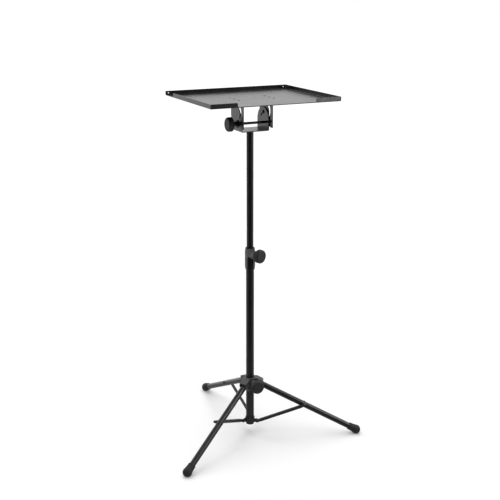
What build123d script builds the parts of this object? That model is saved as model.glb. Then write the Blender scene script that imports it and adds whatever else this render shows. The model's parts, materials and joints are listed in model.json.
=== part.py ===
from build123d import *

import os
from math import asin, cos, degrees, radians, sin, sqrt, tan

# A portable projector stand: a lipped steel tray on a tilting saddle, a column of two tubes with a height
# clamp, and a folding tripod whose hub slides on the lower tube. Millimetres and degrees. The origin is on
# the floor under the column's axis, +Z is up, and the tray's front faces -Y.

# Fits, and how near two edges count as one place
running_fit = 0.05
side_play = 0.3
same_place = 0.1

# Tripod: pivots, legs and feet
leg_names = ("back", "front_right", "front_left")
tripod_turn = 1.85
pivot_radius = 28.0
link_length = 192.5
open_angle = 21.3
hub_pin_drop = 14.0
strut_pin_rise = 4.0
leg_reach = 416.0
leg_tube_radius = 11.0
leg_tube_wall = 1.5
leg_tube_start = 14.0
knuckle_eye_radius = 8.0
knuckle_width = 18.0
knuckle_corner = 2.0
knuckle_collar = 4.0
knuckle_plug_length = 26.0
pin_radius = 3.0
pin_head_radius = 4.5
pin_head_height = 2.0
foot_ball_radius = 17.0
foot_sole_radius = 7.0
foot_sleeve_radius = 13.2
foot_sleeve_length = 31.0
foot_end_wall = 9.0
foot_ball_join = 98.0

# Struts, and the bracket and plug at the column's lower end
strut_height = 12.0
strut_width = 6.0
strut_wall = 1.6
strut_end_radius = 5.0
strut_taper = 24.0
strut_gap = 3.5
tube_below_pin = 15.0
bracket_radius = 17.5
bracket_below_pin = 12.0
bracket_above_pin = 10.0
bracket_tab_thickness = 5.0
bracket_tab_radius = 6.5
plug_length = 22.0
plug_rim = 3.0
plug_chamfer = 1.0

# Sliding hub
hub_radius = 22.0
hub_pocket_radius = 17.5
hub_below_pin = 9.0
hub_height = 45.0
hub_cheek_gap = 1.0
hub_cheek = 3.0
hub_roof_gap = 4.0
hub_roof = 2.5
hub_reach = 50.0
hub_cheek_toe = 6.0
hub_cheek_end = 14.0
hub_boss_radius = 13.0
hub_boss_reach = 41.0
hub_knob_rise = 17.0

# Column
lower_tube_radius = 15.0
lower_tube_wall = 1.5
lower_tube_length = 669.0
upper_tube_radius = 12.5
upper_tube_wall = 1.5
upper_tube_length = 660.0
mast_exposed = 431.0

# Height clamp and the liner that turns in it
clamp_grip = 49.0
clamp_height = 79.0
clamp_mid_radius = 18.9
clamp_end_radius = 17.4
clamp_taper = 12.0
clamp_arch_width = 21.5
clamp_arch_height = 52.0
clamp_arch_azimuth = -111.0
clamp_boss_radius = 15.5
clamp_boss_reach = 28.0
clamp_knob_drop = 23.0
clamp_knob_azimuth = -67.5
liner_lip = 2.0
liner_lip_radius = 16.5

# Hand knobs
knob_radius = 25.0
knob_thickness = 19.0
knob_chamfer = 2.0
knob_dish_radius = 18.0
knob_dish_depth = 1.2
knob_neck_radius = 8.0
knob_neck_length = 11.0
tilt_knob_neck_length = 21.0
stud_radius = 4.0
stud_grip = 14.0

# Tilt saddle, its cross rod and its guide bolt
saddle_width = 106.0
saddle_depth = 88.0
saddle_plate = 3.0
saddle_bend = 4.0
saddle_ear_height = 78.5
rod_radius = 4.5
rod_rise = 27.5
rod_ahead = 18.0
nut_radius = 8.0
nut_height = 7.0
guide_radius = 37.5
guide_angle = 25.5
guide_bolt_radius = 3.0
guide_head_radius = 5.5
guide_head_height = 3.5
guide_slot_spare = 0.6
tilt_forward = 10.0
tilt_back = 30.0

# Tray, and the two ears under it
tray_width = 480.0
tray_depth = 406.0
tray_ahead = 10.0
tray_rise = 85.5
tray_sheet = 1.5
tray_lip = 16.0
tray_bend = 3.0
front_lip_length = 96.0
left_lip_notch = 77.0
lip_end_round = 5.0
corner_slit = 0.8
lip_hole_radius = 2.0
lip_hole_inset = 11.0
ear_plate = 3.0
ear_gap = 1.0
ear_lobe_radius = 13.0
ear_above_rod = 5.0
ear_corner = 25.0
ear_flange_width = 24.0
ear_flange_length = 100.0
strap_width = 15.0
strap_ahead = 6.0
strap_below_rod = 15.0
window_radius = 24.5
window_rise = 8.0
window_back_radius = 26.0
window_back_ahead = 9.5
window_tip_round = 1.5

# Places that follow from the sizes above: the tripod
leg_rise = degrees(asin((hub_pin_drop + strut_pin_rise) / link_length))
leg_angle = open_angle + leg_rise
leg_azimuths = {name: 90 + tripod_turn - 120 * i for i, name in enumerate(leg_names)}
foot_ball_height = sqrt(foot_ball_radius**2 - foot_sole_radius**2)
foot_out = pivot_radius + hub_pin_drop * sin(radians(leg_angle)) + leg_reach * cos(radians(leg_angle))
hub_pin_z = leg_reach * sin(radians(leg_angle)) - hub_pin_drop * cos(radians(leg_angle)) + foot_ball_height
base_pin_z = hub_pin_z - 2 * link_length * sin(radians(open_angle))
strut_near = leg_tube_radius + strut_gap
strut_far = strut_near + strut_width
strut_pin_s = link_length * cos(radians(leg_rise))
strut_pin_h = link_length * sin(radians(leg_rise))
hub_bottom = hub_pin_z - hub_below_pin
hub_top = hub_bottom + hub_height
hub_cheek_near = leg_tube_radius + hub_cheek_gap
hub_cheek_far = hub_cheek_near + hub_cheek
hub_knob_z = hub_pin_z + hub_knob_rise
hub_knob_azimuth = leg_azimuths["back"] - 180

# The column and the head
column_bottom = base_pin_z - tube_below_pin
lower_tube_top = column_bottom + lower_tube_length
clamp_bottom = lower_tube_top - clamp_grip
clamp_top = clamp_bottom + clamp_height
clamp_knob_z = clamp_top - clamp_knob_drop
saddle_bottom = clamp_top + mast_exposed
ear_top = saddle_bottom + saddle_ear_height
rod_y = -rod_ahead
rod_z = saddle_bottom + rod_rise
guide_y = rod_y + guide_radius * sin(radians(guide_angle))
guide_z = rod_z + guide_radius * cos(radians(guide_angle))
plate_top = rod_z + tray_rise
plate_under = plate_top - tray_sheet
lip_top = plate_under + tray_lip
tray_y = -tray_ahead
ear_inside = saddle_width / 2 + ear_gap
ear_outside = ear_inside + ear_plate
strap_back = -saddle_depth / 2 - strap_ahead
strap_front = strap_back - strap_width
ear_back = strap_front + ear_flange_length

UPWARD = (Align.CENTER, Align.CENTER, Align.MIN)


def post(radius, bottom, top):
    """A round bar on the Z axis."""
    return Pos(0, 0, bottom) * Cylinder(radius, top - bottom, align=UPWARD)


def pipe(radius, bore, bottom, top):
    """A round tube on the Z axis."""
    return post(radius, bottom, top) - post(bore, bottom, top)


def block(low, high):
    """A box between two corners."""
    size = [b - a for a, b in zip(low, high)]
    middle = [(a + b) / 2 for a, b in zip(low, high)]
    return Pos(*middle) * Box(*size)


def radial_frame(azimuth, height):
    """A frame on the column's axis: Z leaves it level, along an azimuth, and X is up."""
    away = (cos(radians(azimuth)), sin(radians(azimuth)), 0)
    return Plane(origin=(0, 0, height), x_dir=(0, 0, 1), z_dir=away)


def cross_frame(y, z):
    """A frame across the saddle: Z runs along +X, through a point of the middle plane."""
    return Plane(origin=(0, y, z), x_dir=(0, 1, 0), z_dir=(1, 0, 0))


def bar(frame, radius, start, end):
    """A round bar on a frame's Z axis."""
    return frame * post(radius, start, end)


def pivot_frame(height, slope):
    """A frame at a pivot in a leg's own upright plane: X along the member, Y up, Z to the strut's side."""
    along = (cos(radians(slope)), 0, sin(radians(slope)))
    return Plane(origin=(pivot_radius, 0, height), x_dir=along, z_dir=(0, -1, 0))


leg_frame = pivot_frame(hub_pin_z, -leg_angle)
strut_frame = pivot_frame(base_pin_z, open_angle)


def at_leg(name, shape):
    """Turns a shape that is made over +X round to one leg."""
    return Rot(0, 0, leg_azimuths[name]) * shape


def along_leg(radius, start, end):
    """A round bar on a leg's axis, measured from beside the hub pin."""
    return leg_frame * Pos(0, hub_pin_drop, 0) * Rot(0, 90, 0) * post(radius, start, end)


def across(frame, x, y, radius, near, far):
    """A round bar through a point of a leg's plane, from side to side."""
    return frame * Pos(x, y, 0) * post(radius, near, far)


def roof_line(lift):
    """The level, at any radius, of a line a given height over the hub pin and parallel to the leg."""
    slope = radians(leg_angle)
    return lambda radius: hub_pin_z + lift / cos(slope) - (radius - pivot_radius) * tan(slope)


def roof_radius(lift, height):
    """The radius where that line is at a given height."""
    slope = radians(leg_angle)
    return pivot_radius + (hub_pin_z + lift / cos(slope) - height) / tan(slope)


def upright_slab(points, half_width):
    """A prism over +X with an outline of radius and height, centred on the leg's plane."""
    return extrude(Plane.XZ * make_face(Polyline(*points, close=True)), half_width, both=True)


# Column
def lower_tube():
    return pipe(lower_tube_radius, lower_tube_radius - lower_tube_wall, column_bottom, lower_tube_top)


def tube_plug():
    """The plastic plug in the column's lower end, with a rim under the tube."""
    bore = lower_tube_radius - lower_tube_wall
    plug = post(bore - running_fit, column_bottom, column_bottom + plug_length)
    plug += post(lower_tube_radius, column_bottom - plug_rim, column_bottom)
    return chamfer(plug.edges().group_by(Axis.Z)[0], plug_chamfer)


def strut_bracket():
    """The ring on the tube's lower end, with one tab beside each strut."""
    bottom = base_pin_z - bracket_below_pin
    top = base_pin_z + bracket_above_pin
    ring = post(bracket_radius, bottom, top)
    far = strut_near - side_play
    near = far - bracket_tab_thickness
    for name in leg_names:
        low = (0, -far, base_pin_z - bracket_tab_radius)
        high = (pivot_radius, -near, base_pin_z + bracket_tab_radius)
        tab = block(low, high) + across(strut_frame, 0, 0, bracket_tab_radius, near, far)
        tab -= across(strut_frame, 0, 0, pin_radius + running_fit, near, far)
        ring += at_leg(name, tab)
    return ring - post(lower_tube_radius + running_fit, bottom, top)


def strut_base_pins():
    """One rivet through each tab and strut."""
    inner_face = strut_near - side_play - bracket_tab_thickness
    outer_face = strut_far + side_play
    pin = across(strut_frame, 0, 0, pin_radius, inner_face, outer_face)
    pin += across(strut_frame, 0, 0, pin_head_radius, inner_face - pin_head_height, inner_face)
    pin += across(strut_frame, 0, 0, pin_head_radius, outer_face, outer_face + pin_head_height)
    return Compound(children=[at_leg(name, pin) for name in leg_names])


def height_clamp():
    """The moulded collar on the lower tube's top: barrelled, with a knob boss and an arch over the tube."""
    bore = lower_tube_radius + running_fit
    profile = [
        (bore, clamp_bottom),
        (clamp_end_radius, clamp_bottom),
        (clamp_mid_radius, clamp_bottom + clamp_taper),
        (clamp_mid_radius, clamp_top - clamp_taper),
        (clamp_end_radius, clamp_top),
        (bore, clamp_top),
    ]
    collar = revolve(Plane.XZ * make_face(Polyline(*profile, close=True)), Axis.Z)
    knob_frame = radial_frame(clamp_knob_azimuth, clamp_knob_z)
    boss = bar(knob_frame, clamp_boss_radius, 0, clamp_boss_reach) - post(bore, clamp_bottom, clamp_top)
    arch_frame = radial_frame(clamp_arch_azimuth, clamp_bottom)
    arch_straight = clamp_arch_height - clamp_arch_width / 2
    arch = block((0, -clamp_arch_width / 2, 0), (arch_straight, clamp_arch_width / 2, 2 * clamp_mid_radius))
    arch += Pos(arch_straight, 0, 0) * post(clamp_arch_width / 2, 0, 2 * clamp_mid_radius)
    hole = bar(knob_frame, stud_radius + running_fit, 0, clamp_boss_reach)
    return collar - arch_frame * arch + boss - hole


def clamp_liner():
    """The plastic sleeve in the clamp. The upper tube slides in it and turns with it."""
    bore = upper_tube_radius + 2 * running_fit
    seat = clamp_top + side_play
    sleeve = pipe(lower_tube_radius, bore, lower_tube_top + side_play, seat)
    return sleeve + pipe(liner_lip_radius, bore, seat, seat + liner_lip)


# Mast and tilt saddle
def upper_tube():
    bore = upper_tube_radius - upper_tube_wall
    return pipe(upper_tube_radius, bore, saddle_bottom - upper_tube_length, saddle_bottom)


def saddle_ear_outline():
    """An ear seen from the side: straight up from the base, then a half circle."""
    half = saddle_depth / 2
    spring = ear_top - half
    edges = [
        Polyline((-half, spring), (-half, saddle_bottom), (half, saddle_bottom), (half, spring)),
        ThreePointArc((half, spring), (0, ear_top), (-half, spring)),
    ]
    return make_face(Curve() + edges)


def guide_slot():
    """The arc in the right ear that the guide bolt travels along."""
    first = 90 - guide_angle - tilt_back - guide_slot_spare
    sweep = tilt_forward + tilt_back + 2 * guide_slot_spare
    arc = CenterArc((rod_y, rod_z), guide_radius, first, sweep)
    return SlotArc(arc, 2 * (guide_bolt_radius + side_play))


def tilt_saddle():
    """The U of steel plate on top of the mast."""
    half, inner = saddle_width / 2, saddle_width / 2 - saddle_plate
    depth = saddle_depth / 2
    base = block((-half, -depth, saddle_bottom), (half, depth, saddle_bottom + saddle_plate))
    left = extrude(Plane.YZ.offset(-half) * saddle_ear_outline(), saddle_plate)
    right = extrude(Plane.YZ.offset(inner) * (saddle_ear_outline() - guide_slot()), saddle_plate)
    saddle = base + left + right
    bends = [e for e in saddle.edges().filter_by(Axis.Y).group_by(Axis.Z)[0]]
    saddle = fillet(bends, saddle_bend)
    return saddle - bar(cross_frame(rod_y, rod_z), rod_radius + running_fit, -half, half)


def tilt_rod():
    """The threaded rod that the tray tilts on: a knob grips its left end and a nut its right."""
    end = ear_outside + side_play
    return bar(cross_frame(rod_y, rod_z), rod_radius, -end - stud_grip, end + nut_height)


def tilt_rod_nut():
    start = ear_outside + side_play
    frame = cross_frame(rod_y, rod_z)
    nut = frame * Pos(0, 0, start) * extrude(RegularPolygon(nut_radius, 6), nut_height)
    return nut - bar(frame, rod_radius + running_fit, start, start + nut_height)


# Tray
def tray_pan():
    """The folded sheet: a lip all round, open in the middle of the front and at the back of the left side."""
    half_width, half_depth = tray_width / 2, tray_depth / 2
    front, back = tray_y - half_depth, tray_y + half_depth
    shell = block((-half_width, front, plate_under), (half_width, back, lip_top))
    shell = fillet(shell.edges().group_by(Axis.Z)[0], tray_bend)
    inside = block(
        (-half_width + tray_sheet, front + tray_sheet, plate_top),
        (half_width - tray_sheet, back - tray_sheet, lip_top + tray_lip),
    )
    pan = shell - fillet(inside.edges().group_by(Axis.Z)[0], tray_bend - tray_sheet)
    bend_top = plate_under + tray_bend
    gap = half_width - front_lip_length
    notch = back - left_lip_notch
    pan -= block((-gap, front, bend_top), (gap, front + tray_bend, lip_top))
    pan -= block((-half_width, notch, bend_top), (-half_width + tray_bend, back - tray_bend, lip_top))
    for x in (-half_width + tray_sheet, half_width - tray_sheet - corner_slit):
        for y in (front, back - tray_bend):
            pan -= block((x, y, bend_top), (x + corner_slit, y + tray_bend, lip_top))
    ends = [e for e in pan.edges().filter_by(Axis.Y) if is_lip_end(e, gap)]
    pan = fillet(ends, lip_end_round)
    hole_z = (plate_top + lip_top) / 2
    for x in (-half_width + lip_hole_inset, half_width - lip_hole_inset):
        pan -= Pos(x, back, hole_z) * Rot(90, 0, 0) * Cylinder(lip_hole_radius, 2 * tray_bend)
    return pan


def is_lip_end(edge, gap):
    """True of the short top edges where the front lip stops beside its gap."""
    middle = edge.center()
    at_top = abs(middle.Z - lip_top) < same_place
    at_gap = abs(abs(middle.X) - gap) < same_place
    return at_top and at_gap and edge.length < tray_bend


def ear_window():
    """The crescent cut out behind the strap: a circle, less the round front of the plate behind it."""
    front = Pos(strap_back + window_radius, guide_z + window_rise) * Circle(window_radius)
    crescent = front - Pos(guide_y - window_back_ahead, guide_z) * Circle(window_back_radius)
    return fillet(crescent.vertices(), window_tip_round)


def ear_outline():
    """An ear seen from the side: a strap at the front, a lobe at the rod and a wide plate behind."""
    strap = side_panel(strap_front, strap_back, rod_z - strap_below_rod)
    lobe = Pos((strap_back + rod_y) / 2, rod_z) * Rectangle(rod_y - strap_back, 2 * ear_lobe_radius)
    plate = side_panel(strap_front, ear_back, rod_z + ear_above_rod)
    corner = plate.vertices().sort_by_distance((ear_back, rod_z + ear_above_rod))[0]
    outline = fillet(corner, ear_corner) + strap + lobe + Pos(rod_y, rod_z) * Circle(ear_lobe_radius)
    return outline - ear_window()


def side_panel(front, back, bottom):
    """A rectangle in the side view that hangs from the tray's underside."""
    return Pos((front + back) / 2, (bottom + plate_under) / 2) * Rectangle(back - front, plate_under - bottom)


def tray_ear():
    """One ear on the right side, with the flange that is riveted under the tray."""
    plate = extrude(Plane.YZ.offset(ear_inside) * ear_outline(), ear_plate)
    flange = block(
        (ear_inside, strap_front, plate_under - ear_plate),
        (ear_inside + ear_flange_width, ear_back, plate_under),
    )
    return plate + flange - bar(cross_frame(rod_y, rod_z), rod_radius + running_fit, ear_inside, ear_outside)


def tray_ear_left():
    return mirror(tray_ear(), Plane.YZ)


def tray_ear_right():
    """The right ear also carries the guide bolt."""
    frame = cross_frame(guide_y, guide_z)
    return tray_ear() - bar(frame, guide_bolt_radius + running_fit, ear_inside, ear_outside)


def guide_bolt():
    frame = cross_frame(guide_y, guide_z)
    head_face = saddle_width / 2 - saddle_plate - side_play
    bolt = bar(frame, guide_bolt_radius, head_face, ear_outside)
    bolt += bar(frame, guide_head_radius, head_face - guide_head_height, head_face)
    return bolt + bar(frame, guide_head_radius, ear_outside, ear_outside + guide_head_height)


# Hand knobs
def knob(frame, start, neck_length, bore):
    """A round hand knob on a frame's Z axis, with a blind hole for its stud or rod."""
    disc = Cylinder(knob_radius, knob_thickness, align=UPWARD)
    disc = chamfer(disc.edges().filter_by(GeomType.CIRCLE), knob_chamfer)
    disc -= post(knob_dish_radius, knob_thickness - knob_dish_depth, knob_thickness)
    body = Pos(0, 0, start + neck_length) * disc + post(knob_neck_radius, start, start + neck_length)
    return frame * (body - post(bore, start, start + stud_grip))


def tilt_knob():
    frame = Plane(origin=(0, rod_y, rod_z), x_dir=(0, 0, 1), z_dir=(-1, 0, 0))
    return knob(frame, ear_outside + side_play, tilt_knob_neck_length, rod_radius + running_fit)


def stud(frame, start):
    """The stud of a clamping knob, from beside the tube to inside the knob."""
    return bar(frame, stud_radius, lower_tube_radius + side_play, start + stud_grip)


clamp_knob_frame = radial_frame(clamp_knob_azimuth, clamp_knob_z)
clamp_knob_start = clamp_boss_reach + side_play
hub_knob_frame = radial_frame(hub_knob_azimuth, hub_knob_z)
hub_knob_start = hub_boss_reach + side_play


def height_knob():
    return knob(clamp_knob_frame, clamp_knob_start, knob_neck_length, stud_radius + running_fit)


def height_knob_stud():
    return stud(clamp_knob_frame, clamp_knob_start)


def hub_knob():
    return knob(hub_knob_frame, hub_knob_start, knob_neck_length, stud_radius + running_fit)


def hub_knob_stud():
    return stud(hub_knob_frame, hub_knob_start)


# Tripod
def hub_lug():
    """An inverted channel over one leg's top: two cheeks and a sloping roof."""
    under = leg_tube_radius + hub_pin_drop + hub_roof_gap
    over = under + hub_roof
    roof_end = roof_line(over)(hub_reach)
    outside = [
        (0, hub_bottom),
        (pivot_radius + hub_cheek_toe, hub_bottom),
        (hub_reach, roof_end - hub_cheek_end),
        (hub_reach, roof_end),
        (roof_radius(over, hub_top), hub_top),
        (0, hub_top),
    ]
    beyond = hub_reach + hub_radius
    ceiling = hub_top - hub_roof
    inside = [
        (hub_pocket_radius, hub_bottom),
        (beyond, hub_bottom),
        (beyond, roof_line(under)(beyond)),
        (roof_radius(under, ceiling), ceiling),
        (hub_pocket_radius, ceiling),
    ]
    return upright_slab(outside, hub_cheek_far), upright_slab(inside, hub_cheek_near)


def leg_hub():
    """The collar that slides on the lower tube, with a lug over each leg and a boss for its knob."""
    hub = post(hub_radius, hub_bottom, hub_top)
    lug, pocket = hub_lug()
    for name in leg_names:
        hub += at_leg(name, lug)
    hub += bar(hub_knob_frame, hub_boss_radius, 0, hub_boss_reach)
    for name in leg_names:
        hub -= at_leg(name, pocket)
        hub -= at_leg(name, across(leg_frame, 0, 0, pin_radius + running_fit, -hub_cheek_far, hub_cheek_far))
    hub -= post(lower_tube_radius + 2 * running_fit, hub_bottom - hub_radius, hub_top + hub_radius)
    return hub - bar(hub_knob_frame, stud_radius + running_fit, 0, hub_boss_reach)


def hub_pins():
    """One rivet through each pair of cheeks."""
    pin = across(leg_frame, 0, 0, pin_radius, -hub_cheek_far, hub_cheek_far)
    pin += across(leg_frame, 0, 0, pin_head_radius, hub_cheek_far, hub_cheek_far + pin_head_height)
    pin += across(leg_frame, 0, 0, pin_head_radius, -hub_cheek_far - pin_head_height, -hub_cheek_far)
    return Compound(children=[at_leg(name, pin) for name in leg_names])


def leg_knuckle():
    """The moulded end of a leg: an eye on the hub pin and a plug in the tube."""
    collar_start = leg_tube_start - knuckle_collar
    corner_x = collar_start - knuckle_corner
    corner_y = knuckle_width / 2 - knuckle_corner
    eye = Circle(knuckle_eye_radius)
    upper = Pos(corner_x, hub_pin_drop + corner_y) * Circle(knuckle_corner)
    lower = Pos(corner_x, hub_pin_drop - corner_y) * Circle(knuckle_corner)
    outline = make_hull(eye.edges() + upper.edges() + lower.edges())
    knuckle = extrude(leg_frame * outline, knuckle_width / 2, both=True)
    knuckle += along_leg(leg_tube_radius, collar_start, leg_tube_start)
    plug_radius = leg_tube_radius - leg_tube_wall - running_fit
    knuckle += along_leg(plug_radius, collar_start, leg_tube_start + knuckle_plug_length)
    return knuckle - across(leg_frame, 0, 0, pin_radius + running_fit, -knuckle_width, knuckle_width)


def leg_tube():
    end = leg_reach - foot_end_wall
    tube = along_leg(leg_tube_radius, leg_tube_start, end)
    tube -= along_leg(leg_tube_radius - leg_tube_wall, leg_tube_start, end)
    hole = pin_radius + running_fit
    return tube - across(leg_frame, strut_pin_s, strut_pin_h, hole, -leg_tube_radius, leg_tube_radius)


def strut_pin():
    """The rivet through a leg tube and its strut, with a spacer between them."""
    inside = leg_tube_radius + running_fit
    outside = strut_far + side_play
    at_pin = (leg_frame, strut_pin_s, strut_pin_h)
    pin = across(*at_pin, pin_radius, -inside, outside)
    pin += across(*at_pin, pin_head_radius, -inside - pin_head_height, -inside)
    pin += across(*at_pin, pin_head_radius, inside, strut_near - side_play)
    return pin + across(*at_pin, pin_head_radius, outside, outside + pin_head_height)


def foot():
    """A rubber boot: a sleeve that flares to a ball, with a flat sole worn on the floor."""
    top = leg_reach - foot_sleeve_length
    join = radians(foot_ball_join)
    joint = (leg_reach + foot_ball_radius * cos(join), foot_ball_radius * sin(join))
    shoulder = (leg_reach + foot_ball_radius * cos(join / 2), foot_ball_radius * sin(join / 2))
    tip = (leg_reach + foot_ball_radius, 0)
    edges = [
        Polyline(tip, (top, 0), (top, foot_sleeve_radius), joint),
        ThreePointArc(joint, shoulder, tip),
    ]
    boot = leg_frame * Pos(0, hub_pin_drop, 0) * revolve(make_face(Curve() + edges), Axis.X)
    boot -= along_leg(leg_tube_radius + running_fit, top, leg_reach - foot_end_wall)
    reach = 2 * foot_ball_radius
    return boot - block((foot_out - reach, -reach, -reach), (foot_out + reach, reach, 0))


def strut():
    """A pressed steel strut: a channel open below, tapering to solid round ends for its pins."""
    half = strut_height / 2
    ends = Pos(link_length / 2, 0) * SlotCenterToCenter(link_length, 2 * strut_end_radius)
    near_end = strut_taper
    far_end = link_length - strut_taper
    upper = [(0, strut_end_radius), (near_end, half), (far_end, half), (link_length, strut_end_radius)]
    lower = [(x, -y) for x, y in reversed(upper)]
    outline = ends + make_face(Polyline(*upper, *lower, close=True))
    shape = extrude(strut_frame * Pos(0, 0, strut_near) * outline, strut_width)
    low = (near_end, -half, strut_near + strut_wall)
    high = (far_end, half - strut_wall, strut_far - strut_wall)
    shape -= strut_frame * block(low, high)
    for x in (0, link_length):
        shape -= across(strut_frame, x, 0, pin_radius + running_fit, strut_near, strut_far)
    return shape


def main():
    single = [
        lower_tube, tube_plug, strut_bracket, strut_base_pins, height_clamp, clamp_liner,
        upper_tube, tilt_saddle, tilt_rod, tilt_rod_nut,
        tray_pan, tray_ear_left, tray_ear_right, guide_bolt,
        tilt_knob, height_knob, height_knob_stud, hub_knob, hub_knob_stud,
        leg_hub, hub_pins,
    ]
    nodes = {make.__name__: make() for make in single}
    for make in (leg_knuckle, leg_tube, strut_pin, foot, strut):
        shape = make()
        for name in leg_names:
            nodes[f"{make.__name__}_{name}"] = at_leg(name, shape)
    os.makedirs("parts", exist_ok=True)
    for name, shape in nodes.items():
        export_step(shape, f"parts/{name}.step")
    print(len(nodes), "nodes, lip top at", round(lip_top, 1), "mm, feet", round(foot_out, 1), "mm out")


if __name__ == "__main__":
    main()
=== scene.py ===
# %% [markdown]
# # A portable projector stand
# A lipped steel tray tilts on a saddle, a column of two tubes carries it, and a folding tripod stands on
# the floor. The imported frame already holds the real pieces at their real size. This lesson dresses them:
# each surface gets its finish, the plain knobs, rivets, nut, bolt and boots get detailed shapes, and a
# soft white studio goes around the stand. Everything is in metres in the frame's axes: +Z up, the tray's
# front to -Y.

# %% Load the frame
import json
from math import cos, pi, radians, sin, sqrt

import bmesh
import bpy
import numpy as np
from mathutils import Matrix, Vector


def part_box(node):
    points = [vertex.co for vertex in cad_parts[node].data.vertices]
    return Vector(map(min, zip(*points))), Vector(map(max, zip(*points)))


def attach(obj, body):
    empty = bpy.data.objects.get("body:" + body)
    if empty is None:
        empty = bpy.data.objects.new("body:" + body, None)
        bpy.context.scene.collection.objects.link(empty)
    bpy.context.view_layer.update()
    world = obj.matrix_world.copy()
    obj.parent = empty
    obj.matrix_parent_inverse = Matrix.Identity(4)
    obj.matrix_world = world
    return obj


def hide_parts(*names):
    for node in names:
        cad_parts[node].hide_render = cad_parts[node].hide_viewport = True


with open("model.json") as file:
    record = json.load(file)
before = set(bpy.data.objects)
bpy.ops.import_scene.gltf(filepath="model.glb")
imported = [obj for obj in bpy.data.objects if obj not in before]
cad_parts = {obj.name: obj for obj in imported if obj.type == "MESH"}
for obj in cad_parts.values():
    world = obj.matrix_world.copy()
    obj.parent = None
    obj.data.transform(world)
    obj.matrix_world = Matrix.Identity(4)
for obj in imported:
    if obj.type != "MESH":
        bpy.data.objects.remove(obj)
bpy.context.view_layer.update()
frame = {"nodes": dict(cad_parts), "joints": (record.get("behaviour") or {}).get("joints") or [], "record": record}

nodes = frame["nodes"]
record = frame["record"]
joints = {joint["name"]: joint for joint in frame["joints"]}

# %% [markdown]
# ## Measuring the frame
# Every added piece takes its place from the frame, so it stays right if the part is packed again. A joint
# gives a point and an axis. From these, a few small helpers measure how far a CAD node reaches along that
# axis and around it, and build the matrix that stands a piece, made upright at the origin, in its place.

# %% Measuring helpers
mm = 0.001


def corners(node):
    """A CAD node's vertices, one row each."""
    mesh = nodes[node].data
    flat = np.empty(3 * len(mesh.vertices), np.float32)
    mesh.vertices.foreach_get("co", flat)
    return flat.reshape(-1, 3).astype(float)


def hinge(name):
    """A joint's point and its axis."""
    return Vector(joints[name]["pos_m"]), Vector(joints[name]["axis"]).normalized()


def span(points, origin, axis):
    """The lowest and highest place of some points along an axis."""
    along = (points - np.array(origin)) @ np.array(axis)
    return float(along.min()), float(along.max())


def from_axis(points, origin, axis):
    """The distance of each point from an axis."""
    away = points - np.array(origin)
    away = away - np.outer(away @ np.array(axis), np.array(axis))
    return np.linalg.norm(away, axis=1)


def girth(points, origin, axis):
    """The largest distance of some points from an axis."""
    return float(from_axis(points, origin, axis).max())


def standing(origin, axis):
    """The matrix that takes a piece made along +Z at the origin to a place and an axis."""
    turn = Vector(axis).to_track_quat("Z", "Y").to_matrix().to_4x4()
    return Matrix.Translation(Vector(origin)) @ turn


print("tilt knob turns at", [round(v, 3) for v in hinge("tilt_knob_turn")[0]])

# %% [markdown]
# ## Camera
# The photograph was taken from the front left, a little above the tray, with a long lens. The camera was
# fitted to the tray's corners and the feet, so the render can be laid over the photograph.

# %% Camera
camera_place = Vector((-1.3918, -2.9231, 1.6832))
camera_pitch = radians(16.47)
camera_turn = radians(25.46)
lens_mm = 66.79
sensor_mm = 36.0

camera_data = bpy.data.cameras.new("camera")
camera_data.lens = lens_mm
camera_data.sensor_width = sensor_mm
camera = bpy.data.objects.new("camera", camera_data)
camera.location = camera_place
camera.rotation_euler = (pi / 2 - camera_pitch, 0, -camera_turn)
bpy.context.scene.collection.objects.link(camera)
bpy.context.scene.camera = camera
print("camera", round(camera_place.length, 2), "m from the column's foot")

# %% [markdown]
# ## Shader arithmetic
# A finish is a small node tree. Writing it as arithmetic keeps it readable: a Wire holds a socket, and an
# operator on it adds the Math node. Any other node comes from one method, which sets the node's own
# options first and then feeds its sockets with numbers or with other wires. The same class builds
# Geometry Nodes.


# %% Wire
class Wire:
    """A socket of a node tree. Python's operators on it add Math nodes."""

    def __init__(self, tree, socket=None):
        self.tree = tree
        self.socket = socket

    def node(self, kind, feeds=None, output=0, **settings):
        """Adds a node, sets its options, feeds its sockets and returns one of its outputs."""
        node = self.tree.nodes.new(kind)
        for name, value in settings.items():
            setattr(node, name, value)
        for name, value in (feeds or {}).items():
            self.feed(node.inputs[name], value)
        return Wire(self.tree, node.outputs[output]) if len(node.outputs) else None

    def feed(self, socket, value):
        """Links a wire to a socket, or sets the socket's own value."""
        if isinstance(value, Wire):
            self.tree.links.new(value.socket, socket)
        else:
            socket.default_value = value

    def math(self, operation, *values):
        """A Math node on some numbers or wires."""
        return self.node("ShaderNodeMath", dict(enumerate(values)), operation=operation)

    def __add__(self, other):
        return self.math("ADD", self, other)

    def __sub__(self, other):
        return self.math("SUBTRACT", self, other)

    def __rsub__(self, other):
        return self.math("SUBTRACT", other, self)

    def __mul__(self, other):
        return self.math("MULTIPLY", self, other)

    def __truediv__(self, other):
        return self.math("DIVIDE", self, other)

    def __rtruediv__(self, other):
        return self.math("DIVIDE", other, self)

    __radd__ = __add__
    __rmul__ = __mul__

    def smooth(self, low, high):
        """0 below one value, 1 above another, and a soft step between."""
        feeds = {"Value": self, "From Min": low, "From Max": high}
        return self.node("ShaderNodeMapRange", feeds, interpolation_type="SMOOTHSTEP")

    def dot(self, direction):
        """How far a direction points along a given one."""
        feeds = {0: self, 1: direction}
        return self.node("ShaderNodeVectorMath", feeds, output="Value", operation="DOT_PRODUCT")

    def between(self, dark, light):
        """A colour between two colours. The node keeps its colour sockets at 6 and 7, and at output 2."""
        return self.node("ShaderNodeMix", {0: self, 6: dark, 7: light}, output=2, data_type="RGBA")


print("wires ready")

# %% Parts of a finish
bevel_rays = 4
# Where the powder coat's edges turn paler: worn paint and a painted edge highlight.
wear_highlight_turn = (0.92, 0.75)
wear_highlight_patch = 7 * mm
wear_highlight_patch_edge = (0.35, 0.65)


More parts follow.
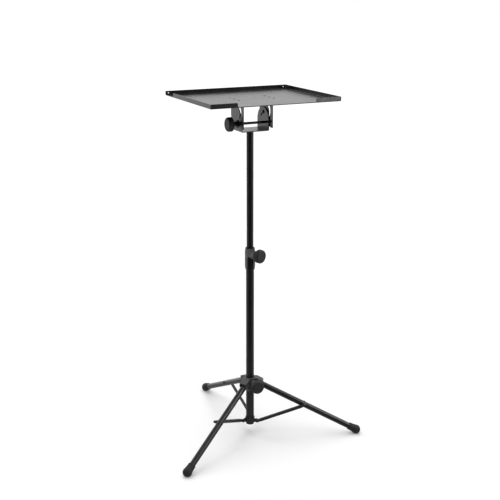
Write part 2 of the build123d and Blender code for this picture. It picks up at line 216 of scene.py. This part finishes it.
def noise(tree, place, size, detail=2.0):
    """Noise whose lumps are about one size across, in metres."""
    feeds = {"Vector": place, "Scale": 1 / size, "Detail": detail}
    return tree.node("ShaderNodeTexNoise", feeds)


def new_finish(name):
    """A material with an empty tree, and where its patterns are measured: the piece's own metres."""
    material = bpy.data.materials.new(name)
    material.use_nodes = True
    material.node_tree.nodes.clear()
    tree = Wire(material.node_tree)
    return material, tree, tree.node("ShaderNodeTexCoord", output="Object")


def edge_wear_and_highlight(tree, place, reach):
    """Worn paint and a painted edge highlight: 1 in patches along edges where a rounded normal leaves the plain
    one, 0 on open faces.
    """
    rounded = tree.node("ShaderNodeBevel", {"Radius": reach}, samples=bevel_rays)
    plain = tree.node("ShaderNodeNewGeometry", output="Normal")
    patches = noise(tree, place, wear_highlight_patch, detail=3.0).smooth(*wear_highlight_patch_edge)
    return rounded.dot(plain).smooth(*wear_highlight_turn) * patches


def close_finish(tree, colour, roughness, height, depth, edge, metallic=0.0):
    """Ends a finish: a relief over softly rounded edges, and the surface shader."""
    rounded = tree.node("ShaderNodeBevel", {"Radius": edge}, samples=bevel_rays)
    relief = tree.node("ShaderNodeBump", {"Height": height, "Distance": depth, "Normal": rounded})
    feeds = {"Base Color": colour, "Roughness": roughness, "Metallic": metallic, "Normal": relief}
    surface = tree.node("ShaderNodeBsdfPrincipled", feeds)
    tree.node("ShaderNodeOutputMaterial", {"Surface": surface})


print("edges rounded with", bevel_rays, "rays")

# %% [markdown]
# ## Finishes
# The steel is powder coated: a satin black with a fine orange peel, slow changes of gloss, and edges a little
# paler and glossier in patches, partly as wear and partly as a painted edge highlight. The knobs are matt black
# plastic with a spark-eroded grain, and the height clamp and the hub are a greyer nylon. The hub's copy of it is
# made darker, as painted shade over its front. Small hardware is blackened steel, and the boots are rubber. They
# are nearly the same black, so their gloss and grain have to tell them apart. Each finish is noise at two or three
# sizes: slow clouds change its colour and gloss, and a fine grain gives it relief.

# %% Powder coat
cool_tint = 1.03
coat_cloud = 40 * mm
coat_cloud_edge = (0.3, 0.7)
coat_peel = 1.4 * mm
coat_grain = 0.35 * mm
coat_wear_highlight_reach = 0.9 * mm
coat_dark = 0.008
coat_light = 0.013
# The paler edge colour stands for worn paint and a painted edge highlight.
coat_wear_and_highlight = 0.05
coat_rough = 0.22
coat_cloud_rough = 0.1
coat_grain_rough = 0.06
coat_rub_polish = 0.06
coat_peel_share = 0.8
coat_grain_share = 0.2
coat_relief = 0.02 * mm
coat_edge = 0.6 * mm


def grey(value):
    """A grey with a touch of blue."""
    return (value, value, cool_tint * value, 1)


def powder_coat():
    """Satin powder coat: orange peel over a fine grain, slow clouds of gloss, and paler edges of wear and painted
    highlight.
    """
    material, tree, place = new_finish("satin_powder_coat")
    clouds = noise(tree, place, coat_cloud, detail=3.0)
    peel = noise(tree, place, coat_peel, detail=2.0)
    grain = noise(tree, place, coat_grain, detail=1.0)
    # Edge patches are painted paler: worn paint and a painted edge highlight.
    wear_and_highlight = edge_wear_and_highlight(tree, place, coat_wear_highlight_reach)
    plain = clouds.smooth(*coat_cloud_edge).between(grey(coat_dark), grey(coat_light))
    colour = wear_and_highlight.between(plain, grey(coat_wear_and_highlight))
    texture = coat_cloud_rough * clouds + coat_grain_rough * grain
    roughness = coat_rough + texture - coat_rub_polish * wear_and_highlight
    height = coat_peel_share * peel + coat_grain_share * grain
    close_finish(tree, colour, roughness, height, coat_relief, coat_edge)
    return material


coat = powder_coat()
print("steel:", coat.name)

# %% Moulded plastic
mould_cloud = 25 * mm
mould_cloud_edge = (0.3, 0.7)
mould_grain = 0.5 * mm
mould_rough = 0.5
mould_cloud_rough = 0.1
mould_grain_rough = 0.08
mould_relief = 0.08 * mm
mould_edge = 0.8 * mm


def moulded_plastic(name, dark, light):
    """Matt moulded plastic with an even spark-eroded grain."""
    material, tree, place = new_finish(name)
    clouds = noise(tree, place, mould_cloud, detail=2.0)
    grain = noise(tree, place, mould_grain, detail=2.0)
    colour = clouds.smooth(*mould_cloud_edge).between(grey(dark), grey(light))
    roughness = mould_rough + mould_cloud_rough * clouds + mould_grain_rough * grain
    close_finish(tree, colour, roughness, grain, mould_relief, mould_edge)
    return material


knob_plastic = moulded_plastic("matt_moulded_plastic", dark=0.017, light=0.025)
nylons = {
    "height_clamp": moulded_plastic("grey_clamp_nylon", dark=0.115, light=0.145),
    # The hub's nylon is the clamp's made darker: painted shade for the shade over the hub's front.
    "leg_hub": moulded_plastic("hub_nylon_painted_shade", dark=0.065, light=0.085),
}
print("plastics:", knob_plastic.name, [nylon.name for nylon in nylons.values()])

# %% Blackened steel
film_cloud = 3 * mm
film_cloud_edge = (0.35, 0.75)
film_grain = 0.3 * mm
film_dark = 0.018
film_worn = 0.04
film_rough = 0.42
film_cloud_polish = 0.12
film_relief = 0.02 * mm
film_edge = 0.3 * mm
film_metal = 0.6


def blackened_steel():
    """Blackened steel hardware: a thin dark film with worn, shinier clouds."""
    material, tree, place = new_finish("blackened_steel")
    clouds = noise(tree, place, film_cloud, detail=3.0)
    grain = noise(tree, place, film_grain, detail=1.0)
    colour = clouds.smooth(*film_cloud_edge).between(grey(film_dark), grey(film_worn))
    roughness = film_rough - film_cloud_polish * clouds
    close_finish(tree, colour, roughness, grain, film_relief, film_edge, metallic=film_metal)
    return material


hardware = blackened_steel()
print("hardware:", hardware.name)

# %% Boot rubber
rubber_cloud = 12 * mm
rubber_cloud_edge = (0.3, 0.75)
rubber_grain = 0.7 * mm
rubber_dark = 0.011
rubber_light = 0.018
rubber_rough = 0.62
rubber_cloud_rough = 0.14
rubber_relief = 0.06 * mm
rubber_edge = 0.6 * mm


def boot_rubber():
    """Moulded rubber: dull, with a soft mottle."""
    material, tree, place = new_finish("boot_rubber")
    clouds = noise(tree, place, rubber_cloud, detail=3.0)
    grain = noise(tree, place, rubber_grain, detail=3.0)
    colour = clouds.smooth(*rubber_cloud_edge).between(grey(rubber_dark), grey(rubber_light))
    roughness = rubber_rough + rubber_cloud_rough * clouds
    close_finish(tree, colour, roughness, grain, rubber_relief, rubber_edge)
    return material


rubber = boot_rubber()
print("boots:", rubber.name)

# %% Finishes on the nodes
finishes = {
    "black_steel": coat,
    "black_plastic": knob_plastic,
    "black_hardware": hardware,
    "black_rubber": rubber,
}
for subpart in record["subparts"]:
    node = subpart["node"]
    for material_slot in nodes[node].material_slots:
        material_slot.material = nylons.get(node, finishes[subpart["material_slot"]])
print("finishes:", sorted(finishes))

# %% [markdown]
# ## Turned pieces
# Knobs, boots and bolt heads are round, so each is a profile of radius and height spun about Z. Corners
# of the profile are short arcs, because a real moulded or turned edge is never sharp. Quads come from
# joining each ring of points to the next, and the poles are closed with fans, so the mesh is watertight.

# %% Turning helpers
on_axis = 1e-6


def arc(centre, radius, start, end, steps=5):
    """Points of an arc in a profile, in degrees from the outward direction."""
    angles = [radians(start + (end - start) * i / steps) for i in range(steps + 1)]
    return [(centre[0] + radius * cos(a), centre[1] + radius * sin(a)) for a in angles]


def spun(profile, sides, reach=None):
    """A closed mesh from a profile that starts and ends on the axis. reach may shape each ring."""
    shape = bmesh.new()
    rings = []
    for radius, height in profile:
        if radius < on_axis:
            rings.append([shape.verts.new((0, 0, height))])
            continue
        angles = [2 * pi * i / sides for i in range(sides)]
        radii = [reach(radius, a) if reach else radius for a in angles]
        rings.append([shape.verts.new((r * cos(a), r * sin(a), height)) for r, a in zip(radii, angles)])
    for below, above in zip(rings, rings[1:]):
        for i in range(sides):
            loop = [below[i % len(below)], below[(i + 1) % len(below)]]
            loop += [above[(i + 1) % len(above)], above[i % len(above)]]
            shape.faces.new(list(dict.fromkeys(loop)))
    bmesh.ops.recalc_face_normals(shape, faces=shape.faces)
    return shape


def to_mesh(name, shape, place=None):
    """Turns a bmesh into a mesh, moved to its place."""
    mesh = bpy.data.meshes.new(name)
    shape.to_mesh(mesh)
    shape.free()
    mesh.transform(place or Matrix.Identity(4))
    return mesh


def add_piece(name, mesh, body, slot, replaced=(), crease=35):
    """Puts a mesh into the scene on its body, with its finish and the nodes that it stands for."""
    piece = bpy.data.objects.new(name, mesh)
    bpy.context.scene.collection.objects.link(piece)
    mesh.materials.clear()
    mesh.materials.append(finishes[slot])
    mesh.shade_smooth()
    mesh.set_sharp_from_angle(angle=radians(crease))
    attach(piece, body)
    if replaced:
        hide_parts(*replaced)
    print(name, "on", body, "with", len(mesh.polygons), "faces")


def joined(*meshes):
    """One mesh from several."""
    shape = bmesh.new()
    for mesh in meshes:
        shape.from_mesh(mesh)
        bpy.data.meshes.remove(mesh)
    return to_mesh("joined", shape)


print("lathe ready")

# %% [markdown]
# ## Geometry Nodes for what repeats
# The knobs' grip ribs, the rivets and the weld bead are each one small shape at many places. A Geometry
# Nodes tree with named inputs makes them, and ends in Realize Instances and Set Material. The evaluated
# result is then copied to a plain mesh, so nothing depends on the modifier afterwards.


# %% Geometry Nodes helpers
def new_tree(name, **inputs):
    """A Geometry Nodes tree with named inputs, and a wire for each of them."""
    tree = bpy.data.node_groups.new(name, "GeometryNodeTree")
    tree.interface.new_socket("Geometry", in_out="OUTPUT", socket_type="NodeSocketGeometry")
    tree.interface.new_socket("Geometry", in_out="INPUT", socket_type="NodeSocketGeometry")
    for label, kind in inputs.items():
        tree.interface.new_socket(label, in_out="INPUT", socket_type=kind)
    source = tree.nodes.new("NodeGroupInput")
    return tree, {label: Wire(tree, source.outputs[label]) for label in ("Geometry", *inputs)}


def close_tree(tree, geometry, material):
    """Ends a tree: instances become real faces, and they get their material."""
    real = geometry.node("GeometryNodeRealizeInstances", {"Geometry": geometry})
    coated = real.node("GeometryNodeSetMaterial", {"Geometry": real, "Material": material})
    coated.node("NodeGroupOutput", {"Geometry": coated})
    return tree


def ring_of(wires):
    """A ring of points from a tree's Count and Radius."""
    feeds = {"Vertices": wires["Count"], "Radius": wires["Radius"]}
    return wires["Count"].node("GeometryNodeMeshCircle", feeds)


def grown(tree, points=None, **values):
    """Runs a tree on some points and returns what it makes as a plain mesh."""
    seed = bpy.data.meshes.new("seed")
    if points:
        seed.from_pydata([place for place, _ in points], [], [])
        facing = seed.attributes.new("facing", "FLOAT_VECTOR", "POINT")
        facing.data.foreach_set("vector", np.array([aim for _, aim in points], np.float32).ravel())
    holder = bpy.data.objects.new("holder", seed)
    bpy.context.scene.collection.objects.link(holder)
    modifier = holder.modifiers.new("grow", "NODES")
    modifier.node_group = tree
    for socket in tree.interface.items_tree:
        if socket.in_out == "INPUT" and socket.name in values:
            modifier[socket.identifier] = values[socket.name]
    graph = bpy.context.evaluated_depsgraph_get()
    mesh = bpy.data.meshes.new_from_object(holder.evaluated_get(graph))
    holder.modifiers.remove(modifier)
    bpy.data.objects.remove(holder)
    return mesh


print("trees can be grown")

# %% Grip ribs
rib_sides = 10


def grip_tree():
    """Ribs that stand side by side round a knob's rim."""
    tree, wires = new_tree(
        "grip_ribs", Radius="NodeSocketFloat", Width="NodeSocketFloat", Lift="NodeSocketFloat",
        Rib="NodeSocketFloat", Count="NodeSocketInt", Material="NodeSocketMaterial",
    )
    ring = ring_of(wires)
    rib = ring.node(
        "GeometryNodeMeshCylinder",
        {"Vertices": rib_sides, "Radius": wires["Rib"], "Depth": wires["Width"]}, fill_type="NGON",
    )
    raised = rib.node("ShaderNodeCombineXYZ", {"Z": wires["Lift"]})
    rib = rib.node("GeometryNodeTransform", {"Geometry": rib, "Translation": raised})
    ribs = rib.node("GeometryNodeInstanceOnPoints", {"Points": ring, "Instance": rib})
    return close_tree(tree, ribs, wires["Material"])


grips = grip_tree()
print("tree:", grips.name)

# %% Rivet heads
head_segments = 24
head_rings = 12


def rivet_tree():
    """Domed heads on points, each facing the way that its point says."""
    tree, wires = new_tree(
        "domed_rivets", Radius="NodeSocketFloat", Height="NodeSocketFloat", Material="NodeSocketMaterial"
    )
    facing = wires["Radius"].node(
        "GeometryNodeInputNamedAttribute", {"Name": "facing"}, data_type="FLOAT_VECTOR"
    )
    turn = facing.node("FunctionNodeAlignRotationToVector", {"Vector": facing}, axis="Z")
    dome = turn.node(
        "GeometryNodeMeshUVSphere", {"Segments": head_segments, "Rings": head_rings, "Radius": 1.0}
    )
    size = dome.node(
        "ShaderNodeCombineXYZ", {"X": wires["Radius"], "Y": wires["Radius"], "Z": wires["Height"]}
    )
    heads = dome.node(
        "GeometryNodeInstanceOnPoints",
        {"Points": wires["Geometry"], "Instance": dome, "Rotation": turn, "Scale": size},
    )
    return close_tree(tree, heads, wires["Material"])


rivets = rivet_tree()
print("tree:", rivets.name)

# %% Weld drops
drop_splits = 3
smallest_drop = 0.85
largest_drop = 1.1
drop_seed = 7


def bead_tree():
    """A weld bead: overlapping drops round a ring, each a little different."""
    tree, wires = new_tree(
        "weld_bead", Radius="NodeSocketFloat", Drop="NodeSocketFloat", Count="NodeSocketInt",
        Material="NodeSocketMaterial",
    )
    ring = ring_of(wires)
    drop = ring.node("GeometryNodeMeshIcoSphere", {"Radius": wires["Drop"], "Subdivisions": drop_splits})
    # The random node takes plain numbers at sockets 2 and 3, and gives one at output 1.
    wobble = drop.node(
        "FunctionNodeRandomValue", {2: smallest_drop, 3: largest_drop, "Seed": drop_seed}, output=1
    )
    drops = drop.node(
        "GeometryNodeInstanceOnPoints", {"Points": ring, "Instance": drop, "Scale": wobble}
    )
    return close_tree(tree, drops, wires["Material"])


beads = bead_tree()
print("tree:", beads.name)

# %% [markdown]
# ## Hand knobs
# Three like knobs clamp the tilt, the height and the tripod's hub. Each is a moulded disc with a well
# rounded front, a flat sunken face, a finely ribbed rim and a neck towards what it clamps. The disc is
# turned, and the ribs grow round it. The knob's length and radius come from its CAD node, so it turns in
# the same space.

# %% Knob shapes
knob_back_round = 2.2 * mm
knob_front_round = 5.5 * mm
knob_face_rim = 2.0 * mm
knob_face_sink = 0.8 * mm
knob_neck = 8 * mm
knob_neck_edge = 0.5 * mm
knob_flare = 2 * mm
knob_disc_share = 0.7
knob_ribs = 72
rib_radius = 0.75 * mm
tilt_washer = 13.5 * mm
tilt_washer_thickness = 2.4 * mm
washer_edge_share = 0.3


def knob_profile(radius, back, length):
    """From the neck's end, out along the back, over the rim and in over the face."""
    face = radius - knob_front_round - knob_face_rim
    sunk = length - knob_face_sink
    points = [(0, 0), (knob_neck - knob_neck_edge, 0), (knob_neck, knob_neck_edge)]
    points += arc((knob_neck + knob_flare, back - knob_flare), knob_flare, 180, 90)
    points += arc((radius - knob_back_round, back + knob_back_round), knob_back_round, -90, 0)
    front = (radius - knob_front_round, length - knob_front_round)
    points += arc(front, knob_front_round, 0, 90, steps=8)
    points += [(face + knob_face_sink, length), (face, sunk), (0.5 * face, sunk), (0, sunk)]
    return points


def washer(radius, thickness):
    """A flat ring with a turned edge. A neck fills its middle."""
    edge = washer_edge_share * thickness
    points = [(0, 0), (radius - edge, 0), (radius, edge), (radius, thickness - edge)]
    points += [(radius - edge, thickness), (0, thickness)]
    return to_mesh("washer", spun(points, sides=64))


print("ribs on each knob:", knob_ribs)


# %% Hand knobs
def add_knob(name, washers=()):
    """A knob in the place of its CAD node, with any washers that turn with it."""
    point, axis = hinge(name + "_turn")
    reach = corners(name)
    low, high = span(reach, point, axis)
    radius = girth(reach, point, axis)
    disc = reach[from_axis(reach, point, axis) > knob_disc_share * radius]
    back = span(disc, point, axis)[0] - low
    length = high - low
    profile = knob_profile(radius - 0.5 * rib_radius, back, length)
    body = to_mesh(name, spun(profile, sides=96))
    rim_low = back + knob_back_round
    rim_high = length - knob_front_round
    ribs = grown(
        grips, Radius=radius - rib_radius, Width=rim_high - rim_low, Rib=rib_radius,
        Lift=(rim_low + rim_high) / 2, Count=knob_ribs, Material=finishes["black_plastic"],
    )
    mesh = joined(body, ribs, *washers)
    mesh.transform(standing(point + low * axis, axis))
    add_piece(name + "_ribbed", mesh, name, "black_plastic", replaced=(name,))


add_knob("tilt_knob", washers=[washer(tilt_washer, tilt_washer_thickness)])
add_knob("height_knob")
add_knob("hub_knob")

# %% [markdown]
# ## Boots
# Each leg ends in a black rubber boot: a sleeve with a beaded mouth that swells to a ball, worn flat
# where it meets the floor. The leg's own axis runs through the middles of its tube's two end rings. The
# boot is turned about that axis and then cut level with the floor.

# %% Boot shape
boot_mouth = 1.2 * mm
boot_bead = 0.9 * mm
boot_bead_width = 4 * mm
boot_socket = 8 * mm
boot_play = 0.05 * mm
boot_swell = 1.0 * mm
boot_swell_share = 0.3
end_band = 1 * mm
widest_band = 0.02 * mm
leg_names = [name[len("foot_"):] for name in nodes if name.startswith("foot_")]


def leg_line(name):
    """A point on a leg's axis, and the axis towards the foot."""
    points = np.unique(corners("leg_tube_" + name).round(6), axis=0)
    rough = np.linalg.svd(points - points.mean(axis=0), full_matrices=False)[2][0]
    along = points @ rough * -np.sign(rough[2])
    top = points[along < along.min() + end_band].mean(axis=0)
    bottom = points[along > along.max() - end_band].mean(axis=0)
    return Vector(top), Vector(bottom - top).normalized()


def boot_profile(low, high, ball, sleeve, bore):
    """From the bottom of the socket, out over the beaded mouth, down the sleeve and round the ball."""
    centre = high - ball
    join = centre - sqrt(ball**2 - (ball - boot_swell) ** 2)
    lip = sleeve + boot_bead
    points = [(0, low + boot_socket), (bore, low + boot_socket), (bore, low + boot_mouth)]
    points += arc((bore + boot_mouth, low + boot_mouth), boot_mouth, 180, 270, steps=4)
    points += arc((lip - boot_mouth, low + boot_mouth), boot_mouth, -90, 0, steps=4)
    points += arc((lip - boot_mouth, low + boot_bead_width - boot_mouth), boot_mouth, 0, 60, steps=4)
    points += [(sleeve + boot_swell_share * (ball - sleeve), 0.5 * (low + join))]
    points += arc((0, centre), ball, -20, 90, steps=16)
    return points


def cut_level(mesh):
    """The part of a closed mesh above the floor, closed again by a flat sole."""
    shape = bmesh.new()
    shape.from_mesh(mesh)
    everything = shape.verts[:] + shape.edges[:] + shape.faces[:]
    found = bmesh.ops.bisect_plane(
        shape, geom=everything, plane_co=(0, 0, 0), plane_no=(0, 0, -1), clear_outer=True
    )
    rim = [edge for edge in found["geom_cut"] if isinstance(edge, bmesh.types.BMEdge)]
    bmesh.ops.holes_fill(shape, edges=rim)
    bmesh.ops.recalc_face_normals(shape, faces=shape.faces)
    return to_mesh(mesh.name, shape)


print("legs:", leg_names)


# %% Boots
def add_boot(name):
    """A boot in the place of its CAD node, measured from that node and from the leg's tube."""
    node = "foot_" + name
    point, axis = leg_line(name)
    reach = corners(node)
    along = (reach - np.array(point)) @ np.array(axis)
    around = from_axis(reach, point, axis)
    low = float(along.min())
    ball = float(around.max())
    widest = float(along[around > ball - widest_band].mean())
    sleeve = float(around[along < low + end_band].max())
    bore = girth(corners("leg_tube_" + name), point, axis) + boot_play
    shape = spun(boot_profile(low, widest + ball, ball, sleeve, bore), sides=64)
    mesh = cut_level(to_mesh(node, shape, standing(point, axis)))
    add_piece(node + "_boot", mesh, "leg_" + name, "black_rubber", replaced=(node,), crease=50)


for leg in leg_names:
    add_boot(leg)

# %% [markdown]
# ## Rivets
# Rivets hold the legs in the hub, the struts on the legs and on the bracket, and the ears under the tray.
# The CAD pins have flat heads, so a dome goes on each. The tray's rivets aren't in the CAD, so they get a
# head on the sheet and one under the ear's flange. One tree makes them all from a point and a facing for
# every head.

# %% Pin ends
rivet_crown = 1.4 * mm
pin_head = 4.5 * mm
face_band = 0.01 * mm
# A leg's own third of the circle goes 60 degrees to each side of it, and the cosine of that is a half.
sector_cosine = 0.5


def leg_sides(name):
    """The level directions out along a leg and across it."""
    _, axis = leg_line(name)
    outward = Vector((axis.x, axis.y, 0)).normalized()
    return np.array(outward), np.array(outward.cross(Vector((0, 0, 1))))


def pin_ends(node, name):
    """Both end faces of the pin that crosses one leg, with the ways they face."""
    outward, side = leg_sides(name)
    points = corners(node)
    mine = points[points @ outward > sector_cosine * np.hypot(points[:, 0], points[:, 1])]
    low, high = span(mine, (0, 0, 0), side)
    ends = []
    for level, aim in ((low, -side), (high, side)):
        flat = mine[np.abs(mine @ side - level) < face_band]
        ends.append((tuple(flat.mean(axis=0)), tuple(aim)))
    return ends


hub_ends = [end for leg in leg_names for end in pin_ends("hub_pins", leg)]
base_ends = [end for leg in leg_names for end in pin_ends("strut_base_pins", leg)]
print("pin ends:", len(hub_ends), "on the hub,", len(base_ends), "on the bracket")


# %% Rivets on the pins
def add_rivets(name, body, points, radius=pin_head, crown=rivet_crown):
    """The heads on one body, as one mesh."""
    mesh = grown(rivets, points, Radius=radius, Height=crown, Material=finishes["black_steel"])
    add_piece(name, mesh, body, "black_steel", crease=60)


add_rivets("hub_rivets", "hub", hub_ends)
add_rivets("bracket_rivets", "column", base_ends)
for leg in leg_names:
    add_rivets("strut_rivets_" + leg, "leg_" + leg, pin_ends("strut_pin_" + leg, leg))

# %% Rivets of the tray
plate_rivet = 3.6 * mm
plate_crown = 1.5 * mm
flange_thickness = 3 * mm
flange_inset = 11 * mm
flange_shares = (0.14, 0.5, 0.86)
plate_top = next(mount for mount in record["mounts"] if mount["name"] == "tray_top")["pos_m"][2]

flange_rivets = []
for ear in ("tray_ear_left", "tray_ear_right"):
    low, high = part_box(ear)
    outer = low.x if abs(low.x) > abs(high.x) else high.x
    middle = outer - flange_inset * (1 if outer > 0 else -1)
    for share in flange_shares:
        along = low.y + share * (high.y - low.y)
        flange_rivets.append(((middle, along, plate_top), (0, 0, 1)))
        flange_rivets.append(((middle, along, high.z - flange_thickness), (0, 0, -1)))
add_rivets("tray_rivets", "tray", flange_rivets, plate_rivet, plate_crown)

# %% [markdown]
# ## Nut and guide bolt
# The tilt rod ends in a hexagon nut, and a round-headed bolt runs in the arc slot of the saddle's right
# ear. A nut starts as a turned blank and its sides are cut flat. So the same lathe makes it: a chamfered
# profile is spun, and every ring is held inside a hexagon, which leaves the curved bevels that a real nut
# has.

# %% Nut
nut_flat = 6.9 * mm
nut_chamfer = 0.9 * mm
nut_mouth = 0.8 * mm
rod_end_edge = 0.5 * mm


def hexagon(apothem):
    """A rule that holds a turned radius inside a hexagon."""
    def reach(radius, angle):
        from_flat = (angle + pi / 6) % (pi / 3) - pi / 6
        return min(radius, apothem / cos(from_flat))
    return reach


def add_rod_nut():
    """The nut on the rod's right end, with the rod's end standing in it."""
    point, axis = hinge("tray_tilt")
    low, high = span(corners("tilt_rod_nut"), point, axis)
    rod = girth(corners("tilt_rod"), point, axis)
    corner = nut_flat / cos(pi / 6)
    length = high - low
    points = [(0, 0), (corner - nut_chamfer, 0), (corner, nut_chamfer), (corner, length - nut_chamfer)]
    points += [(corner - nut_chamfer, length), (rod + nut_mouth, length), (rod, length - nut_mouth)]
    points += [(rod - rod_end_edge, length), (0, length)]
    blank = spun(points, sides=72, reach=hexagon(nut_flat))
    mesh = to_mesh("nut", blank, standing(point + low * axis, axis))
    name = "tilt_rod_hexagon_nut"
    add_piece(name, mesh, "mast", "black_hardware", replaced=("tilt_rod_nut",), crease=20)


add_rod_nut()

# %% Guide bolt
bolt_head = 3.5 * mm
bolt_washer = 0.9 * mm
bolt_washer_share = 1.3
bolt_shank_share = 0.55


def dome(radius, height, steps=8):
    """Profile points from a pole outwards over a domed head."""
    angles = [0.5 * pi * i / steps for i in range(steps + 1)]
    return [(radius * sin(a), height * (1 - cos(a))) for a in angles]


def add_guide_bolt():
    """The bolt in the arc slot: a domed head over a washer inside, and a domed nut outside."""
    low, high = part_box("guide_bolt")
    place = Vector((low.x, (low.y + high.y) / 2, (low.z + high.z) / 2))
    head = (high.z - low.z) / 2
    shank = bolt_shank_share * head
    ring = bolt_washer_share * head
    length = high.x - low.x
    inside = bolt_head - bolt_washer
    points = dome(head, inside) + [(ring, inside), (ring, bolt_head), (shank, bolt_head)]
    points += [(shank, length - bolt_head), (head, length - bolt_head)]
    points += [(radius, length - height) for radius, height in reversed(dome(head, bolt_head))]
    mesh = to_mesh("bolt", spun(points, sides=48), standing(place, (1, 0, 0)))
    add_piece("guide_bolt_domed", mesh, "tray", "black_hardware", replaced=("guide_bolt",))


add_guide_bolt()

# %% [markdown]
# ## Weld bead
# The saddle is welded to the top of the mast. A bead of overlapping drops runs round the tube under the
# saddle, each drop a little different in size, as a hand-laid weld is.

# %% Weld bead
bead_drop = 2.0 * mm
bead_drops = 72
bead_out = 0.2 * bead_drop
bead_down = 0.1 * bead_drop
saddle_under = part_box("tilt_saddle")[0].z
mast_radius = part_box("upper_tube")[1].x
bead = grown(
    beads, Radius=mast_radius + bead_out, Drop=bead_drop, Count=bead_drops,
    Material=finishes["black_steel"],
)
bead.transform(Matrix.Translation((0, 0, saddle_under - bead_down)))
add_piece("saddle_weld", bead, "mast", "black_steel", crease=180)

# %% [markdown]
# ## Studio
# The stand is shown on white. The camera sees a white room and a white floor that keeps the soft shadow
# of a broad lamp overhead. Black paint is drawn by what it mirrors, so glossy rays see another room: dark
# towards the camera, grey at the sides and paler behind. That gives each tube its dark middle between
# paler edges, and the tray its pale sheen. The broad lamp is kept out of that room. Two smaller lamps are
# only mirrored: one at the front right draws the bright line along each leg, and a small card lights the
# right lip of the front.

# %% Room
white = (1, 1, 1, 1)
room_light = 0.25
mirrored_front = 0.02
mirrored_sides = 0.46
mirrored_back = 0.7
sides_edge = (0.95, 0.4)
back_edge = (-0.25, -0.65)
towards_camera = Vector((camera_place.x, camera_place.y, 0)).normalized()


def surround(towards):
    """What glossy rays see in the room, from how far they point towards the camera."""
    sides = mirrored_sides * towards.smooth(*sides_edge)
    behind = mirrored_back * towards.smooth(*back_edge)
    return mirrored_front + sides + behind


def ray_kinds(tree):
    """Which kind of ray asks for the light: one that shows the white room, a glossy one, or another."""
    path = tree.tree.nodes.new("ShaderNodeLightPath").outputs
    shows = Wire(tree.tree, path["Is Camera Ray"]) + Wire(tree.tree, path["Is Transmission Ray"])
    return shows, Wire(tree.tree, path["Is Glossy Ray"])


world = bpy.data.worlds.new("studio")
bpy.context.scene.world = world
world.use_nodes = True
world.node_tree.nodes.clear()
room = Wire(world.node_tree)
looking = room.node("ShaderNodeTexCoord", output="Generated")
shown, mirrored = ray_kinds(room)
level = shown + mirrored * surround(looking.dot(towards_camera)) + (1 - shown - mirrored) * room_light
background = room.node("ShaderNodeBackground", {"Color": white, "Strength": level})
room.node("ShaderNodeOutputWorld", {"Surface": background})
print("room light", room_light)

# %% Floor
lamp_place = Vector((-0.2, 1.3, 3.6))
lamp_foot = Vector((lamp_place.x, lamp_place.y, 0))
lamp_on_floor = 0.83
lamp_spread = 6.2
floor_white = 0.965
floor_paint = (0.8, 0.8, 0.8, 1)
floor_half = 30.0
mirrored_floor = 0.45
open_floor_edge = (0.4, 0.9)


def white_floor():
    """A white floor that takes the shadow. Its own light makes up for the lamp's, which fades outwards."""
    material, tree, place = new_finish("white_floor")
    shown, mirrored = ray_kinds(tree)
    away = place.node("ShaderNodeVectorMath", {0: place}, output="Value", operation="LENGTH")
    aim = place.node("ShaderNodeVectorMath", {0: place}, operation="NORMALIZE")
    ends = {0: place, 1: lamp_foot}
    beside = place.node("ShaderNodeVectorMath", ends, output="Value", operation="DISTANCE")
    slant = beside / lamp_spread
    fade = 1 / (1 + slant * slant)
    level = floor_white - lamp_on_floor * fade * fade
    matt = tree.node("ShaderNodeBsdfDiffuse", {"Color": floor_paint})
    glow = tree.node("ShaderNodeEmission", {"Color": white, "Strength": shown * level})
    seen = tree.node("ShaderNodeAddShader", {0: matt, 1: glow})
    open_floor = away.smooth(*open_floor_edge)
    mirror_level = mirrored_floor * (1 - open_floor) + open_floor * surround(aim.dot(towards_camera))
    mirror = tree.node("ShaderNodeEmission", {"Color": white, "Strength": mirror_level})
    both = tree.node("ShaderNodeMixShader", {0: mirrored, 1: seen, 2: mirror})
    tree.node("ShaderNodeOutputMaterial", {"Surface": both})
    return material


floor_corners = [(x * floor_half, y * floor_half, 0) for x, y in ((-1, -1), (1, -1), (1, 1), (-1, 1))]
floor_mesh = bpy.data.meshes.new("floor")
floor_mesh.from_pydata(floor_corners, [], [(0, 1, 2, 3)])
floor_mesh.materials.append(white_floor())
floor = bpy.data.objects.new("floor", floor_mesh)
bpy.context.scene.collection.objects.link(floor)
print("floor", 2 * floor_half, "m wide")


# %% Lamps
def softbox(name, place, aim, size, watts):
    """A square lamp that faces a point."""
    data = bpy.data.lights.new(name, "AREA")
    data.shape = "SQUARE"
    data.size = size
    data.energy = watts
    lamp = bpy.data.objects.new(name, data)
    lamp.location = place
    lamp.rotation_euler = (Vector(aim) - Vector(place)).to_track_quat("-Z", "Y").to_euler()
    bpy.context.scene.collection.objects.link(lamp)
    return lamp


overhead = softbox("overhead", lamp_place, aim=lamp_foot, size=5.5, watts=210)
overhead.visible_glossy = False
front_right = softbox("front_right", (2.1, -1.65, 2.25), aim=(0, 0, 0.2), size=1.0, watts=32)
lip_card = softbox("lip_card", (0.74, -1.1, 1.17), aim=(0.19, -0.21, 1.285), size=0.24, watts=1.2)
for lamp in (front_right, lip_card):
    lamp.visible_diffuse = False
    lamp.visible_camera = False
bpy.context.scene.view_settings.view_transform = "Standard"
print("lamps:", [lamp.name for lamp in (overhead, front_right, lip_card)])
